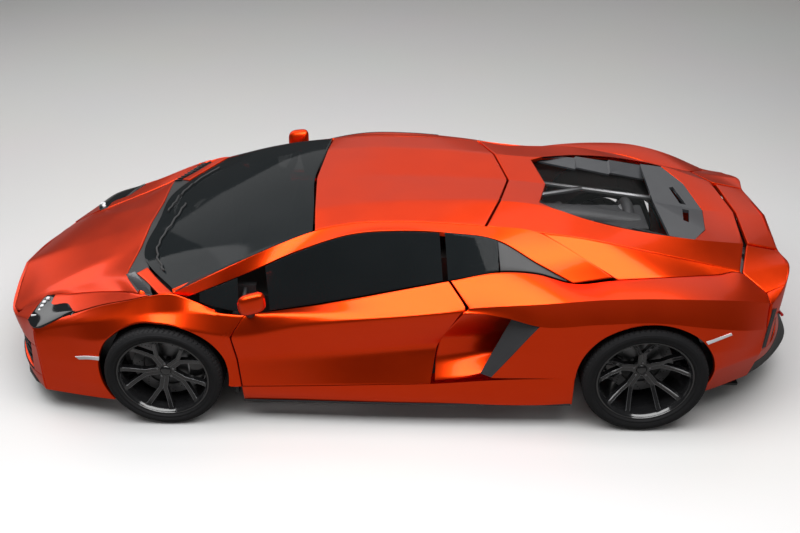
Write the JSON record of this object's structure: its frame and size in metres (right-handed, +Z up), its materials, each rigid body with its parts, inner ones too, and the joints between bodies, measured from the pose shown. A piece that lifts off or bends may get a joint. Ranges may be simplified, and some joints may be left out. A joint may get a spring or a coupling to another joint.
{
  "type": "sports car",
  "caption": "Low two-seat sports car with a mid-mounted engine, scissor doors, a wedge nose and a glazed engine lid; it rolls and steers on its wheels.",
  "frame": {"origin": "on the ground, at mid-length on the centreline, at the middle of the bounding box's base", "axes": "+X towards the tail, +Y to the car's right, +Z up"},
  "size_m": [4.78, 2.16, 1.1381],
  "materials": {
    "paint": "metallic orange lacquer, gloss",
    "glass": "dark tinted glass",
    "lamp": "clear lens over dark housing",
    "tyre": "black rubber, satin",
    "wheel_black": "gloss black with thin grey edges",
    "frame_metal": "cast and extruded, satin",
    "carbon": "black composite, satin",
    "black_trim": "black moulded, satin",
    "leather": "black leather with stitching",
    "engine_metal": "dark cast metal",
    "exhaust_metal": "brushed steel"
  },
  "bodies": {
    "body": {"monocoque": "carbon", "front_structure": "frame_metal", "rear_structure": "frame_metal", "suspension": "frame_metal", "undertray": "carbon", "wheel_arch_liners": "black_trim", "front_bumper": "paint", "headlamps": "lamp", "front_wings": "paint", "scuttle": "black_trim", "windscreen": "glass", "roof_panel": "paint", "side_frames": "paint", "fixed_side_windows": "glass", "quarter_panels": "paint", "side_sills": "paint", "rear_bumper": "paint", "tail_lamps": "lamp", "exhaust": "exhaust_metal", "dashboard": "black_trim", "seats": "leather", "engine": "engine_metal", "air_grilles": "black_trim"},
    "door_left_body": {"door_left": "paint", "door_glass_left": "glass", "mirror_left": "paint"},
    "door_right_body": {"door_right": "paint", "door_glass_right": "glass", "mirror_right": "paint"},
    "front_lid_body": {"front_lid": "paint"},
    "engine_lid_body": {"engine_lid": "paint", "engine_lid_frame": "black_trim", "engine_lid_glass": "glass"},
    "tail_wing_body": {"tail_wing": "paint"},
    "steering_wheel_body": {"steering_wheel": "black_trim"},
    "upright_left_body": {"upright_front_left": "frame_metal"},
    "upright_right_body": {"upright_front_right": "frame_metal"},
    "wheel_front_left_body": {"wheel_front_left": "wheel_black", "tyre_front_left": "tyre"},
    "wheel_front_right_body": {"wheel_front_right": "wheel_black", "tyre_front_right": "tyre"},
    "wheel_rear_left_body": {"wheel_rear_left": "wheel_black", "tyre_rear_left": "tyre"},
    "wheel_rear_right_body": {"wheel_rear_right": "wheel_black", "tyre_rear_right": "tyre"}
  },
  "joints": [
    {"name": "steer_left", "type": "hinge", "parent": "body", "child": "upright_left_body", "pos_m": [-1.306, -0.775, 0.33], "axis": [0, 0, 1], "range_deg": [-30, 30]},
    {"name": "steer_right", "type": "hinge", "parent": "body", "child": "upright_right_body", "pos_m": [-1.306, 0.775, 0.33], "axis": [0, 0, 1], "range_deg": [-30, 30]},
    {"name": "steering_turn", "type": "hinge", "parent": "body", "child": "steering_wheel_body", "pos_m": [-0.516, -0.42, 0.67], "axis": [0.9272, 0, 0.3746], "range_deg": [-450, 450]},
    {"name": "front_left_spin", "type": "hinge", "parent": "upright_left_body", "child": "wheel_front_left_body", "pos_m": [-1.306, -0.86, 0.33], "axis": [0, 1, 0], "continuous": true},
    {"name": "front_right_spin", "type": "hinge", "parent": "upright_right_body", "child": "wheel_front_right_body", "pos_m": [-1.306, 0.86, 0.33], "axis": [0, 1, 0], "continuous": true},
    {"name": "rear_left_spin", "type": "hinge", "parent": "body", "child": "wheel_rear_left_body", "pos_m": [1.394, -0.85, 0.354], "axis": [0, 1, 0], "continuous": true},
    {"name": "rear_right_spin", "type": "hinge", "parent": "body", "child": "wheel_rear_right_body", "pos_m": [1.394, 0.85, 0.354], "axis": [0, 1, 0], "continuous": true},
    {"name": "door_left_open", "type": "hinge", "parent": "body", "child": "door_left_body", "pos_m": [-0.836, -0.9, 0.73], "axis": [0, -0.9439, -0.3304], "range_deg": [0, 70]},
    {"name": "door_right_open", "type": "hinge", "parent": "body", "child": "door_right_body", "pos_m": [-0.836, 0.9, 0.73], "axis": [0, -0.9439, 0.3304], "range_deg": [0, 70]},
    {"name": "front_lid_open", "type": "hinge", "parent": "body", "child": "front_lid_body", "pos_m": [-1.401, 0, 0.812], "axis": [0, 1, 0], "range_deg": [0, 60]},
    {"name": "engine_lid_open", "type": "hinge", "parent": "body", "child": "engine_lid_body", "pos_m": [0.484, 0, 1.136], "axis": [0, -1, 0], "range_deg": [0, 50]},
    {"name": "tail_wing_tilt", "type": "hinge", "parent": "body", "child": "tail_wing_body", "pos_m": [2.036, 0, 0.885], "axis": [0, -1, 0], "range_deg": [0, 11]}
  ],
  "couplings": [
    {"joint": "steer_right", "follows": "steer_left", "ratio": 1},
    {"joint": "steering_turn", "follows": "steer_left", "ratio": 14}
  ]
}
